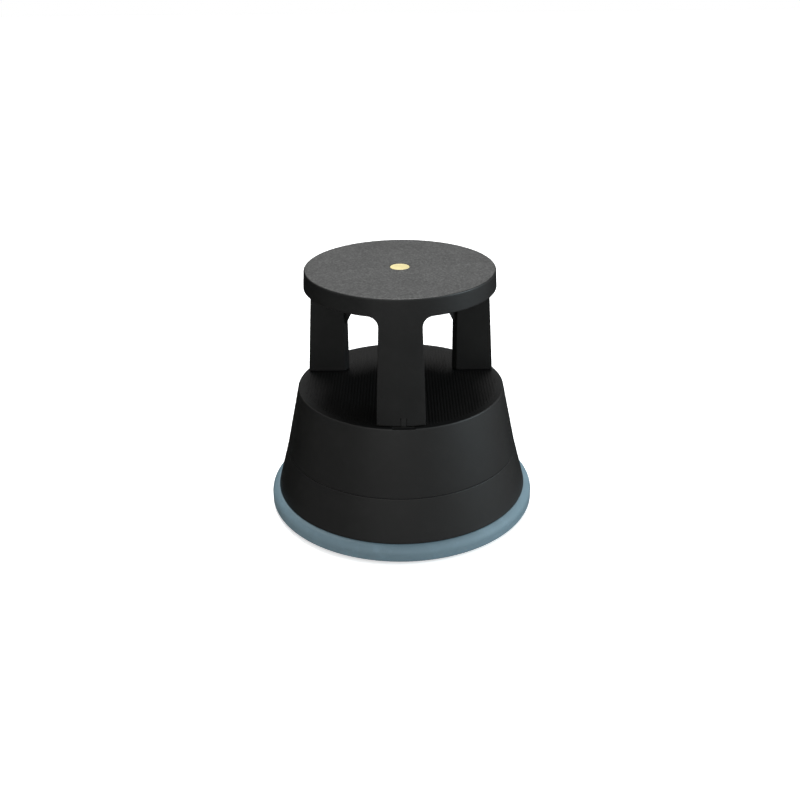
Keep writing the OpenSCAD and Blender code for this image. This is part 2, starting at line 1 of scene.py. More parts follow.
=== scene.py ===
"""Looks of the round two-level rolling step stool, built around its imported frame.

All lengths are in metres. Levels and outer radii come from the frame; the other sizes are named here.
The stool stands on Z = 0 about the Z axis, and one leg of the top step points to -Y.
"""

import json
import math

import bmesh
import bpy
from mathutils import Matrix, Vector


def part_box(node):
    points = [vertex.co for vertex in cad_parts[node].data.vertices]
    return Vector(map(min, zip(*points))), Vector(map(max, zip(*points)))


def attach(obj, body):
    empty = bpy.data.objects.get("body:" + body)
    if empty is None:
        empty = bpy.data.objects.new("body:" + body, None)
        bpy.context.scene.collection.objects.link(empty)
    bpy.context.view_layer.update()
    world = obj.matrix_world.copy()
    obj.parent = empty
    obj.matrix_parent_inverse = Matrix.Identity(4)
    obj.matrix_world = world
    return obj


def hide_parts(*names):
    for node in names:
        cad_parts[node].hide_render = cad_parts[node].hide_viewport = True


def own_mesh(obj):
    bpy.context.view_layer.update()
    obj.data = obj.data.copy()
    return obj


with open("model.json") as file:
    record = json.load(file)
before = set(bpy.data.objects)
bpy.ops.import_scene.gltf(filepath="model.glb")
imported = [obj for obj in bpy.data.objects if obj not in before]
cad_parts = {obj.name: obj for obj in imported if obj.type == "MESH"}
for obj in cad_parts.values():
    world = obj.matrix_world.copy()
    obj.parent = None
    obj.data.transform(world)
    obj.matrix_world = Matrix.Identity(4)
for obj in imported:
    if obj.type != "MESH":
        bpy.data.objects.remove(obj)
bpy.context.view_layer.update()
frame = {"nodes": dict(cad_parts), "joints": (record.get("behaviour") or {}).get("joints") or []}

MM = 0.001

# ---------------------------------------------------------------- sizes

LEG_ANGLES = [math.radians(a) for a in (-90, 30, 150)]
SECTOR = math.radians(120)
LEG_HALF_ANGLE = math.radians(30)

# Levels
TOP_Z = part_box("top_step")[1].z
SEAM_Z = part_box("base_skirt")[1].z
RING_LOW_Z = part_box("bumper_ring")[0].z
RING_TOP_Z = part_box("bumper_ring")[1].z
FOOT_GAP = 1.4 * MM
COLLAR_HEIGHT = 10 * MM
TREAD_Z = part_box("lower_step")[1].z - FOOT_GAP - COLLAR_HEIGHT
LEG_Z = TREAD_Z + FOOT_GAP
RIM_HEIGHT = 29 * MM
RIM_Z = TOP_Z - RIM_HEIGHT
DISC_THICKNESS = 4 * MM
DISC_Z = TOP_Z - DISC_THICKNESS
TREAD_THICKNESS = 3.5 * MM
TREAD_UNDER_Z = TREAD_Z - TREAD_THICKNESS

# Radii
RING_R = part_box("bumper_ring")[1].x
SKIRT_R = RING_R - 12.4 * MM
RING_SEAT_R = SKIRT_R - 6.6 * MM
RING_LIP = 6 * MM
RING_LIP_HEIGHT = 3 * MM
SEAM_R = 196 * MM
FLANGE_R = SEAM_R - 24 * MM
TREAD_R = 172.4 * MM
FOOT_R = 165.6 * MM
TOP_R = 153.4 * MM
CAP_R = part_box("center_cap")[1].x
CAP_GAP = 0.5 * MM
CAP_DEPTH = 2 * MM
CAP_HOLE_R = CAP_R - 2.6 * MM
CAP_STEM = 9 * MM

# Walls and edges
WALL = 3 * MM
EDGE = 2.2 * MM
SOFT = 1.0 * MM
RIB = 2.4 * MM
RIB_DEPTH = 18 * MM
TREAD_RIB_DEPTH = 16 * MM
FLANGE_THICKNESS = 4 * MM
SEAM_ROUND = 1.1 * MM
SKIRT_FOOT = 1.3 * MM

# Legs
SIDE_OFFSET = 47.15 * MM
INNER_FLAT = 107 * MM
FLAT_ROUND = 1.6 * MM
ARCH = 16 * MM
HAUNCH_DROP = 89 * MM
HAUNCH_REACH = 60 * MM
HAUNCH_WEB = 4 * MM
COLLAR_CLEARANCE = 0.4 * MM
LATCH_HALF = 4 * MM
LATCH_SLIT = 0.9 * MM
LATCH_HEIGHT = 14 * MM
LATCH_PROUD = 0.8 * MM
LATCH_DROP = 0.9 * MM
LATCH_OFFSET = 3.8 * MM
RECESS_HALF = 18 * MM
RECESS_DEPTH = 1 * MM

# Screw bosses
PILOT_R = 2.1 * MM
LEG_BOSS_R = 6 * MM
LEG_BOSS_HEIGHT = 45 * MM
LEG_BOSS_RADII = (INNER_FLAT + 15 * MM, INNER_FLAT + 41 * MM)
BASE_BOSS_R = 5.5 * MM
BASE_BOSS_HEIGHT = 30 * MM
BASE_BOSS_CIRCLE = SEAM_R - 16 * MM

# Grip ribs of the lower tread
GRIP_PITCH = 5 * MM
GRIP_WIDTH = 2.6 * MM
GRIP_HEIGHT = 0.8 * MM
GRIP_MARGIN = 12 * MM
GRIP_LEG_GAP = 3 * MM

# Castors
CASTOR_CIRCLE = 146 * MM
WHEEL_R = 20 * MM
WHEEL_WIDTH = 12 * MM
WHEEL_GAP = 6.5 * MM
WHEEL_RIM = 4.5 * MM
WHEEL_HUB_WALL = 4.5 * MM
WHEEL_WEB = (6 * MM, 9 * MM)
AXLE_R = 3 * MM
TRAIL = 12 * MM
SPRING_TURNS = 6.5
SPRING_WIRE_R = 0.8 * MM
SPRING_R = 7.5 * MM


# ---------------------------------------------------------------- mesh helpers

class Shell:
    """Collects closed shells and turns them into one object."""

    def __init__(self):
        self.verts = []
        self.faces = []

    def point(self, p):
        self.verts.append(Vector(p))
        return len(self.verts) - 1

    def add(self, verts, faces, matrix=None):
        first = len(self.verts)
        for v in verts:
            self.verts.append(matrix @ Vector(v) if matrix else Vector(v))
        for f in faces:
            self.faces.append([first + i for i in f])

    def build(self, name, material, sharp=math.radians(50), second=None, chosen=None):
        """One object. Faces for which chosen(face) is true take the second material."""
        mesh = bpy.data.meshes.new(name)
        bm = bmesh.new()
        made = [bm.verts.new(v) for v in self.verts]
        for f in self.faces:
            corners = []
            for i in f:
                if made[i] not in corners:
                    corners.append(made[i])
            if len(corners) > 2 and not bm.faces.get(corners):
                bm.faces.new(corners)
        loose = [v for v in bm.verts if not v.link_faces]
        bmesh.ops.delete(bm, geom=loose, context="VERTS")
        bmesh.ops.recalc_face_normals(bm, faces=bm.faces)
        for e in bm.edges:
            e.smooth = len(e.link_faces) == 2 and e.calc_face_angle() < sharp
        for f in bm.faces:
            f.smooth = True
            f.material_index = 1 if chosen and chosen(f) else 0
        bm.to_mesh(mesh)
        bm.free()
        mesh.materials.append(material)
        if second:
            mesh.materials.append(second)
        obj = bpy.data.objects.new(name, mesh)
        bpy.context.scene.collection.objects.link(obj)
        weighted = obj.modifiers.new("normals", "WEIGHTED_NORMAL")
        weighted.keep_sharp = True
        return obj


def evenly(a, b, n):
    """n + 1 numbers from a to b."""
    return [a + (b - a) * i / n for i in range(n + 1)]


def turned(angles):
    """Points of a unit circle at the given angles."""
    return [(math.cos(a), math.sin(a)) for a in angles]


def fillet(corners, closed=True, steps=5):
    """Outline whose corners (x, y, radius) are turned into arcs."""
    out = []
    count = len(corners)
    for i, (x, y, radius) in enumerate(corners):
        p = Vector((x, y))
        if radius <= 0 or (not closed and i in (0, count - 1)):
            out.append((x, y))
            continue
        a = Vector(corners[i - 1][:2]) - p
        b = Vector(corners[(i + 1) % count][:2]) - p
        half = a.angle(b) / 2
        reach = min(radius / math.tan(half), a.length * 0.49, b.length * 0.49)
        centre = p + (a.normalized() + b.normalized()).normalized() * (reach / math.cos(half))
        start = p + a.normalized() * reach - centre
        end = p + b.normalized() * reach - centre
        turn = math.atan2(start.x * end.y - start.y * end.x, start.dot(end))
        for k in range(steps + 1):
            c, s = math.cos(turn * k / steps), math.sin(turn * k / steps)
            out.append((centre.x + start.x * c - start.y * s, centre.y + start.x * s + start.y * c))
    return out


def lathe(shell, profile, angles, matrix=None, level=None):
    """Closed solid of revolution about Z. An outline that starts and ends on the axis is closed there."""
    verts, rows = [], []
    on_axis = profile[0][0] == 0
    for r, z in profile:
        if r == 0:
            rows.append([len(verts)] * len(angles))
            verts.append((0, 0, z))
            continue
        row = []
        for a in angles:
            row.append(len(verts))
            verts.append((r * math.cos(a), r * math.sin(a), level(r, a, z) if level else z))
        rows.append(row)
    faces = []
    for i in range(len(rows) - (1 if on_axis else 0)):
        low, high = rows[i], rows[(i + 1) % len(rows)]
        for k in range(len(angles)):
            n = (k + 1) % len(angles)
            faces.append([low[k], low[n], high[n], high[k]])
    shell.add(verts, faces, matrix)


def circle(n):
    return [math.tau * i / n for i in range(n)]


def loft(shell, sections, matrix=None):
    """Closed solid through sections, each a ring of as many points."""
    n = len(sections[0])
    verts = [p for s in sections for p in s]
    faces = [list(range(n)), [(len(sections) - 1) * n + i for i in range(n)]]
    for i in range(len(sections) - 1):
        for k in range(n):
            j = (k + 1) % n
            faces.append([i * n + k, i * n + j, (i + 1) * n + j, (i + 1) * n + k])
    shell.add(verts, faces, matrix)


def web(shell, outline, thickness, angle):
    """Upright plate through the axis direction `angle`, with its outline in radius and height."""
    edge = min(0.4 * MM, thickness / 4)
    half = thickness / 2
    centre = Vector((sum(p[0] for p in outline), sum(p[1] for p in outline))) / len(outline)
    sections = []
    for offset, inset in ((-half, edge), (-half + edge, 0), (half - edge, 0), (half, edge)):
        ring = []
        for x, z in outline:
            toward = centre - Vector((x, z))
            moved = Vector((x, z)) + toward.normalized() * inset
            ring.append((moved.x, offset, moved.y))
        sections.append(ring)
    loft(shell, sections, Matrix.Rotation(angle, 4, "Z"))


def box_outline(x0, x1, z0, z1):
    return [(x0, z0), (x1, z0), (x1, z1), (x0, z1)]


# ---------------------------------------------------------------- materials

def principled(
    name, colour, roughness, spread=0.05, grain=2400, bump=0.12,
    specular=0.5, metallic=0.0, lighter=1.22, flecked=False,
):
    """Moulded or metal surface: fine grain, faint uneven gloss, and lighter rubbed places or fine flecks."""
    dust = 0.0012
    mat = bpy.data.materials.new(name)
    mat.use_nodes = True
    nodes, links = mat.node_tree.nodes, mat.node_tree.links
    shader = nodes["Principled BSDF"]
    shader.inputs["Metallic"].default_value = metallic
    shader.inputs["Specular IOR Level"].default_value = specular
    coords = nodes.new("ShaderNodeTexCoord")

    def noise(scale, detail, roughness_value=0.55):
        n = nodes.new("ShaderNodeTexNoise")
        n.inputs["Scale"].default_value = scale
        n.inputs["Detail"].default_value = detail
        n.inputs["Roughness"].default_value = roughness_value
        links.new(coords.outputs["Object"], n.inputs["Vector"])
        return n.outputs["Fac"]

    def spread_over(source, low, high, out_low, out_high):
        m = nodes.new("ShaderNodeMapRange")
        for socket, value in zip(m.inputs[1:5], (low, high, out_low, out_high)):
            socket.default_value = value
        links.new(source, m.inputs[0])
        return m.outputs[0]

    # Uneven gloss: broad patches and fine specks
    patches = spread_over(noise(14, 4), 0.3, 0.7, roughness - spread, roughness + spread)
    specks = spread_over(noise(grain / 3, 2), 0.35, 0.65, -spread * 0.4, spread * 0.4)
    add = nodes.new("ShaderNodeMath")
    links.new(patches, add.inputs[0])
    links.new(specks, add.inputs[1])
    links.new(add.outputs[0], shader.inputs["Roughness"])

    # Colour: a slightly dusty, lighter tone in rubbed places, or in fine flecks all over
    if flecked:
        rubbed = spread_over(noise(grain / 3, 2), 0.40, 0.70, 0.0, 1.0)
    else:
        rubbed = spread_over(noise(38, 6, 0.65), 0.52, 0.78, 0.0, 1.0)
    mix = nodes.new("ShaderNodeMix")
    mix.data_type = "RGBA"
    worn = [min(1.0, c * lighter + dust) for c in colour]
    mix.inputs["A"].default_value = (*colour, 1)
    mix.inputs["B"].default_value = (*worn, 1)
    links.new(rubbed, mix.inputs["Factor"])
    links.new(mix.outputs["Result"], shader.inputs["Base Color"])

    # Fine grain of the mould
    bumped = nodes.new("ShaderNodeBump")
    bumped.inputs["Strength"].default_value = bump
    bumped.inputs["Distance"].default_value = 0.1 * MM
    links.new(noise(grain, 3), bumped.inputs["Height"])
    links.new(bumped.outputs["Normal"], shader.inputs["Normal"])
    return mat


BLACK = principled("black_plastic", (0.0052, 0.0054, 0.0050), 0.44, specular=0.45, bump=0.16)
# Copy of the black plastic for the top face: its lighter colour is painted sheen of the light from above; the
# flecks and the bump are its grain
TOP_FACE_PAINTED_SHEEN = principled(
    "black_plastic_grained_painted_sheen", (0.038, 0.038, 0.037), 0.52,
    grain=1000, bump=0.6, lighter=2.6, flecked=True,
)
# Copy of the black plastic for the lower tread: its darker colour is painted shade of the top disc over it;
# the ribs are real
GRIP = principled(
    "black_plastic_ribbed_painted_shade", (0.0035, 0.0036, 0.0034), 0.56,
    specular=0.24, grain=1200, bump=0.2,
)
INNER = principled("inner_plastic", (0.010, 0.010, 0.010), 0.5, specular=0.4, grain=1800)
BUMPER = principled("bumper", (0.118, 0.180, 0.213), 0.5, specular=0.4, grain=1600, bump=0.08)
CAP = principled("cap", (0.72, 0.62, 0.325), 0.34, spread=0.04, grain=1500, bump=0.04)
STEEL = principled(
    "steel", (0.56, 0.56, 0.58), 0.32,
    spread=0.08, grain=900, bump=0.1, metallic=1.0,
)
WHEEL = principled("wheel", (0.055, 0.056, 0.060), 0.45, grain=1500)


def finish_piece(obj, body, slot_name, *nodes):
    """Puts a piece under its body and hides the CAD nodes that it stands in for. slot_name is not used."""
    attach(obj, body)
    if nodes:
        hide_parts(*nodes)
    return obj


# ---------------------------------------------------------------- top step

def skin_radius(z):
    """Outer radius of the legs and the top disc."""
    return FOOT_R + (TOP_R - FOOT_R) * (z - TREAD_Z) / (TOP_Z - TREAD_Z)


def off_side(a, radius):
    """Angle from a leg's middle to the point of a circle that lies a outside the plane of its side."""
    return LEG_HALF_ANGLE - math.asin((SIDE_OFFSET - a) / radius)


def leg_columns():
    """Columns of one sector: leg, arch corner, opening and the next leg's arch corner.

    Each is (angle as a function of the radius, lowest level of its upper zone, kind).
    """
    arch_steps, window_steps = 12, 60
    columns = []

    def share(s):
        return lambda r: s * off_side(-SOFT, r)

    def across(y):
        return lambda r: math.asin(y / r)

    def arch(side, alpha, base):
        a = ARCH - (ARCH + SOFT) * math.cos(alpha)
        return lambda r: base + side * off_side(a, r)

    slits = [LATCH_HALF, LATCH_HALF + LATCH_SLIT]
    low = RIM_Z - ARCH
    for s in evenly(1.0, 0.12, 9):
        columns.append((share(-s), low, "leg"))
    for y in [-slits[1], -slits[0], -slits[0] / 2, 0, slits[0] / 2, slits[0], slits[1]]:
        columns.append((across(y + LATCH_OFFSET), low, "leg"))
    for s in evenly(0.36, 1.0, 9):
        columns.append((share(s), low, "leg"))
    arcs = [math.pi / 2 * k / arch_steps for k in range(1, arch_steps + 1)]
    for alpha in arcs:
        z = RIM_Z - ARCH + (ARCH + SOFT) * math.sin(alpha)
        columns.append((arch(1, alpha, 0), z, ("arch", 1, alpha)))
    first, last = arch(1, math.pi / 2, 0), arch(-1, math.pi / 2, SECTOR)
    for i in range(1, window_steps):
        t = i / window_steps
        columns.append((lambda r, t=t: first(r) * (1 - t) + last(r) * t, RIM_Z + SOFT, "window"))
    for alpha in reversed(arcs):
        z = RIM_Z - ARCH + (ARCH + SOFT) * math.sin(alpha)
        columns.append((arch(-1, alpha, SECTOR), z, ("arch", -1, alpha)))
    return columns


def top_skin(shell):
    """Top disc with its rim, the arch corners and the legs' outer faces, as one closed sheet of even wall."""
    columns = leg_columns()
    legs = [i for i, c in enumerate(columns) if c[2] == "leg"]
    per = len(columns)
    total = per * len(LEG_ANGLES)
    blend_z = RIM_Z + 8 * MM
    zone = evenly(0, 1, 8)
    latch_top = LEG_Z + LATCH_HEIGHT
    lower = evenly(RIM_Z - ARCH, latch_top, 12)[1:] + evenly(latch_top, LEG_Z + SOFT, 6)[1:]
    rows = len(zone) + len(lower)

    def level(row, column):
        if row < len(zone):
            return blend_z + (columns[column][1] - blend_z) * zone[row]
        return lower[row - len(zone)]

    def place(sector, column, z, depth):
        r = skin_radius(z) - depth
        a = LEG_ANGLES[sector] + columns[column][0](r)
        return (r * math.cos(a), r * math.sin(a), z)

    def latch_shift(column, z):
        """The latch finger leans outwards towards its tip."""
        middle = (legs[0] + legs[-1]) / 2
        if abs(column - middle) > 2.5 or z >= latch_top:
            return 0
        return LATCH_PROUD * (latch_top - z) / LATCH_HEIGHT

    grid = {}
    for side, depth in (("out", 0), ("in", WALL)):
        for sector in range(len(LEG_ANGLES)):
            for column in range(per):
                high = rows if column in legs else len(zone)
                for row in range(high):
                    z = level(row, column)
                    p = place(sector, column, z, depth - latch_shift(column, z))
                    grid[side, sector * per + column, row] = shell.point(p)

    def quad(*corners):
        shell.faces.append(list(corners))

    middle = (legs[0] + legs[-1]) // 2
    slit_columns = (middle - 3, middle + 2)
    latch_row = len(zone) + 11
    for side in ("out", "in"):
        for c in range(total):
            n = (c + 1) % total
            on_leg = c % per in legs and (c % per) + 1 in legs
            for row in range(rows - 1):
                if row >= len(zone) - 1 and not on_leg:
                    break
                if on_leg and c % per in slit_columns and row >= latch_row:
                    break
                quad(grid[side, c, row], grid[side, n, row], grid[side, n, row + 1], grid[side, c, row + 1])

    # Rounded edge from the outer to the inner face, along the whole lower border
    steps = 4
    quarter = [math.pi / 2 * k / steps for k in range(1, steps + 1)]
    section = [(SOFT * math.sin(t), SOFT * (1 - math.cos(t))) for t in quarter]
    section += [(reach, WALL - depth) for reach, depth in reversed(section)]

    def border(sector, column, row, move):
        """Chain of vertices over the edge at one place; move(reach) gives how far it goes out and down."""
        key = (sector * per + column, row)
        z0 = level(row, column)
        chain = [grid["out", *key]]
        for reach, depth in section:
            chain.append(shell.point(move(z0, reach, depth)))
        chain.append(grid["in", *key])
        return chain

    def straight_down(sector, column):
        def move(z0, reach, depth):
            z = z0 - reach
            return place(sector, column, z, depth - latch_shift(column, z0))
        return move

    def off_edge(sector, side, a0, across, down):
        """Moves out of the plane of a leg's side by `across` and down by `down` for each unit of reach."""
        def move(z0, reach, depth):
            z = z0 - down * reach
            r = skin_radius(z) - depth
            angle = LEG_ANGLES[sector % 3] + side * off_side(a0 + across * reach, r)
            return (r * math.cos(angle), r * math.sin(angle), z)
        return move

    fan = [math.pi / 2 * k / 4 for k in range(5)]
    chains = []
    for sector in range(len(LEG_ANGLES)):
        low, high = legs[0], legs[-1]
        last = rows - 1
        for t in fan:
            chains.append(border(sector, low, last, off_edge(sector, -1, -SOFT, math.cos(t), math.sin(t))))
        for column in legs[1:-1]:
            chains.append(border(sector, column, last, straight_down(sector, column)))
            if column in slit_columns or column - 1 in slit_columns:
                chains[-1].append("slit" if column in slit_columns else "end")
        for t in reversed(fan):
            chains.append(border(sector, high, last, off_edge(sector, 1, -SOFT, math.cos(t), math.sin(t))))
        for row in range(last - 1, len(zone) - 2, -1):
            chains.append(border(sector, high, row, off_edge(sector, 1, -SOFT, 1, 0)))
        for column in range(high + 1, per):
            kind = columns[column][2]
            row = len(zone) - 1
            if kind == "window":
                chains.append(border(sector, column, row, straight_down(sector, column)))
            else:
                _, side, alpha = kind
                a0 = ARCH - (ARCH + SOFT) * math.cos(alpha)
                leg = sector if side > 0 else sector + 1
                move = off_edge(leg, side, a0, math.cos(alpha), math.sin(alpha))
                chains.append(border(sector, column, row, move))
        after = (sector + 1) % 3
        for row in range(len(zone) - 1, last):
            chains.append(border(after, low, row, off_edge(after, -1, -SOFT, 1, 0)))
    marks = [c.pop() if isinstance(c[-1], str) else "" for c in chains]
    for i, chain in enumerate(chains):
        following = chains[(i + 1) % len(chains)]
        if marks[i] == "slit":
            shell.faces.append(list(chain))
            shell.faces.append(list(following))
            continue
        for k in range(len(chain) - 1):
            quad(chain[k], following[k], following[k + 1], chain[k + 1])

    # Walls of the latch slits
    for sector in range(len(LEG_ANGLES)):
        for column in slit_columns:
            c = sector * per + column
            for edge in (c, c + 1):
                for row in range(latch_row, rows - 1):
                    quad(
                        grid["out", edge, row], grid["out", edge, row + 1],
                        grid["in", edge, row + 1], grid["in", edge, row],
                    )
            quad(
                grid["out", c, latch_row], grid["out", c + 1, latch_row],
                grid["in", c + 1, latch_row], grid["in", c, latch_row],
            )

    # Upper rim, top face, cap seat and the underside of the disc
    seat_r = CAP_R + CAP_GAP
    seat_z = TOP_Z - CAP_DEPTH
    cone = [("cone", 0, z) for z in evenly(blend_z, TOP_Z - EDGE, 4)[1:]]
    arc = [
        ("ring", TOP_R - EDGE + EDGE * math.cos(t), TOP_Z - EDGE + EDGE * math.sin(t))
        for t in evenly(math.radians(6), math.pi / 2, 7)
    ]
    top = [("ring", r, TOP_Z) for r in evenly(TOP_R - EDGE, seat_r + 0.5 * MM, 10)[1:]]
    seat = [("ring", r, z) for r, z in fillet([
        (seat_r + 2 * MM, TOP_Z, 0), (seat_r, TOP_Z, 0.5 * MM), (seat_r, seat_z, 0.2 * MM),
        (CAP_HOLE_R, seat_z, 0.3 * MM), (CAP_HOLE_R, DISC_Z - RIB_DEPTH, 0),
    ], closed=False, steps=3)[1:]]
    hub_wall = 5 * MM
    hub_r = CAP_HOLE_R + hub_wall
    under = [("ring", hub_r, DISC_Z - RIB_DEPTH), ("ring", hub_r, DISC_Z)]
    corner = 1.2 * MM
    under += [("ring", r, DISC_Z) for r in evenly(hub_r, skin_radius(DISC_Z) - WALL - corner, 8)[1:]]
    inner = [("inner", WALL, z) for z in (DISC_Z - corner, DISC_Z - 6 * MM)]
    previous = [grid["out", c, 0] for c in range(total)]
    for kind, value, z in cone + arc + top + seat + under + inner:
        row = []
        for c in range(total):
            sector, column = divmod(c, per)
            if kind == "ring":
                a = LEG_ANGLES[sector] + columns[column][0](TOP_R)
                row.append(shell.point((value * math.cos(a), value * math.sin(a), z)))
            else:
                row.append(shell.point(place(sector, column, z, value)))
        for c in range(total):
            n = (c + 1) % total
            quad(previous[c], previous[n], row[n], row[c])
        previous = row
    for c in range(total):
        n = (c + 1) % total
        quad(previous[c], previous[n], grid["in", n, 0], grid["in", c, 0])


def leg_walls(shell, angle):
    """Side walls and inner face of one leg, joined to the skin at mid-wall."""
    hair = 0.02 * MM

    def section(z, grow):
        outer_a = -hair - grow
        r = skin_radius(z) - WALL / 2
        flat = INNER_FLAT + grow
        ends, corners = [], []
        for depth, a, x in ((0, outer_a, flat), (1, -WALL + grow, INNER_FLAT + WALL - grow)):
            phi = off_side(a, r)
            half = (x * math.sin(LEG_HALF_ANGLE) - SIDE_OFFSET + a) / math.cos(LEG_HALF_ANGLE)
            ends.append((r * math.cos(phi), r * math.sin(phi)))
            corners.append((x, half))
        (x0, h0), (x1, h1) = corners
        (ex0, ey0), (ex1, ey1) = ends
        outline = fillet([
            (ex0, -ey0, 0), (x0, -h0, FLAT_ROUND), (x0, h0, FLAT_ROUND), (ex0, ey0, 0),
            (ex1, ey1, 0), (x1, h1, 0.6 * MM), (x1, -h1, 0.6 * MM), (ex1, -ey1, 0),
        ])
        return [(x, y, z) for x, y in outline]

    lip = 0.7 * MM
    levels = [(LEG_Z + lip * (1 - math.cos(t)), lip * (1 - math.sin(t))) for t in evenly(0, math.pi / 2, 3)]
    sections = [section(z, grow) for z, grow in levels]
    sections.append(section(DISC_Z + MM, 0))
    loft(shell, sections, Matrix.Rotation(angle, 4, "Z"))


def ring_wall(shell, outer, thickness, z0, z1, count=128):
    """Round wall hanging under a plate, softened at its free lower edge."""
    lathe(shell, fillet([
        (outer - thickness, z0, 0.4 * MM), (outer, z0, 0.4 * MM),
        (outer, z1, 0), (outer - thickness, z1, 0),
    ], steps=2), circle(count))


def top_step():
    shell = Shell()
    top_skin(shell)
    rib_z = DISC_Z - RIB_DEPTH
    rim_inner = skin_radius(RIM_Z) - WALL
    for i, a in enumerate(circle(12)):
        end = INNER_FLAT + MM if i % 4 == 0 else rim_inner + 0.5 * MM
        web(shell, box_outline(CAP_HOLE_R + 3 * MM, end, rib_z, DISC_Z + MM), RIB, LEG_ANGLES[0] + a)
    ring_wall(shell, HAUNCH_REACH + RIB, RIB, rib_z, DISC_Z + MM)
    for a in LEG_ANGLES:
        leg_walls(shell, a)
        web(shell, [
            (INNER_FLAT + MM, RIM_Z - HAUNCH_DROP), (INNER_FLAT - 0.2 * MM, RIM_Z - HAUNCH_DROP),
            (HAUNCH_REACH, RIM_Z), (HAUNCH_REACH, DISC_Z + MM), (INNER_FLAT + MM, DISC_Z + MM),
        ], HAUNCH_WEB, a)
        turn = Matrix.Rotation(a, 4, "Z")
        boss_top = TREAD_Z + LEG_BOSS_HEIGHT
        for r in LEG_BOSS_RADII:
            lathe(shell, fillet([
                (PILOT_R, TREAD_Z, 0.2 * MM), (LEG_BOSS_R, TREAD_Z, 0.4 * MM),
                (LEG_BOSS_R, boss_top, 0.4 * MM), (PILOT_R, boss_top, 0.2 * MM),
            ], steps=2), circle(32), turn @ Matrix.Translation((r, 0, 0)))
        tip = skin_radius(LEG_Z) + LATCH_PROUD - WALL + 0.4 * MM
        nose = tip + WALL - 0.5 * MM
        low, high = LEG_Z - LATCH_DROP, LEG_Z + 3 * MM
        outline = fillet([
            (tip, low, 0.4 * MM), (nose, low, 0.7 * MM), (nose, high, 0.3 * MM), (tip, high, 0),
        ], steps=3)
        tongue = LATCH_HALF - 0.3 * MM
        sides = (LATCH_OFFSET - tongue, LATCH_OFFSET + tongue)
        loft(shell, [[(x, y, z) for x, z in outline] for y in sides], turn)

    # The top face takes the copy of the black plastic with painted sheen
    def on_top(face):
        return face.calc_center_median().z > TOP_Z - 0.05 * MM

    skin = shell.build("top_step_skin", BLACK, second=TOP_FACE_PAINTED_SHEEN, chosen=on_top)
    return finish_piece(skin, "stool", "black_plastic", "top_step")


# ---------------------------------------------------------------- lower step and base

def cone_radius(z):
    """Outer radius of the lower step's cone."""
    return SEAM_R + (TREAD_R - SEAM_R) * (z - SEAM_Z) / (TREAD_Z - SEAM_Z)


def leg_span(x, direction):
    """Stretch of the line at this x, along Y, that one leg and its margin cover, or None."""
    turn = Matrix.Rotation(-direction, 2)
    inside = []
    steps = 400
    for y in evenly(-TREAD_R, TREAD_R, steps):
        p = turn @ Vector((x, y))
        beyond_flat = p.x > INNER_FLAT - GRIP_LEG_GAP
        half = (p.x * math.sin(LEG_HALF_ANGLE) - SIDE_OFFSET + GRIP_LEG_GAP) / math.cos(LEG_HALF_ANGLE)
        if beyond_flat and abs(p.y) < half:
            inside.append(y)
    return (min(inside), max(inside)) if inside else None


def grip_ribs(shell):
    """Parallel ribs along Y with tapered ends, left out round the feet."""
    reach = TREAD_R - GRIP_MARGIN
    count = int(reach / GRIP_PITCH)
    half = GRIP_WIDTH / 2
    outline = fillet([
        (-half, -0.1 * MM, 0), (half, -0.1 * MM, 0),
        (half, GRIP_HEIGHT, 0.5 * MM), (-half, GRIP_HEIGHT, 0.5 * MM),
    ], steps=3)
    taper = 1.0 * MM
    end_lift = 0.35
    for i in range(-count, count + 1):
        x = i * GRIP_PITCH
        end = math.sqrt(reach ** 2 - x ** 2)
        stretches = [(-end, end)]
        for a in LEG_ANGLES:
            span = leg_span(x, a)
            if span is None:
                continue
            cut = []
            for y0, y1 in stretches:
                cut += [(y0, min(y1, span[0])), (max(y0, span[1]), y1)]
            stretches = cut
        for y0, y1 in stretches:
            if y1 - y0 < 4 * taper:
                continue
            sections = []
            for y, lift in ((y0, end_lift), (y0 + taper, 1), (y1 - taper, 1), (y1, end_lift)):
                sections.append([
                    (x + px * (0.55 + 0.45 * lift), y, TREAD_Z + (pz * lift if pz > 0 else pz))
                    for px, pz in outline
                ])
            loft(shell, sections)


def leg_collar(shell, angle):
    """Upright wall on the tread that locates one foot from inside."""
    gap = WALL + COLLAR_CLEARANCE

    def outline(z, inset):
        r = skin_radius(z) - inset
        phi = off_side(-inset, r)
        flat = INNER_FLAT + inset
        half = (flat * math.sin(LEG_HALF_ANGLE) - SIDE_OFFSET - inset) / math.cos(LEG_HALF_ANGLE)
        arc = [(r * math.cos(t), r * math.sin(t), z) for t in evenly(-phi, phi, 12)]
        return arc + [(flat, half, z), (flat, -half, z)]

    top = TREAD_Z + FOOT_GAP + COLLAR_HEIGHT
    loft(shell, [
        outline(TREAD_Z - 0.5 * MM, gap), outline(top - MM, gap), outline(top, gap + 0.8 * MM),
        outline(top, gap + RIB), outline(TREAD_Z + 0.1 * MM, gap + RIB),
    ], Matrix.Rotation(angle, 4, "Z"))


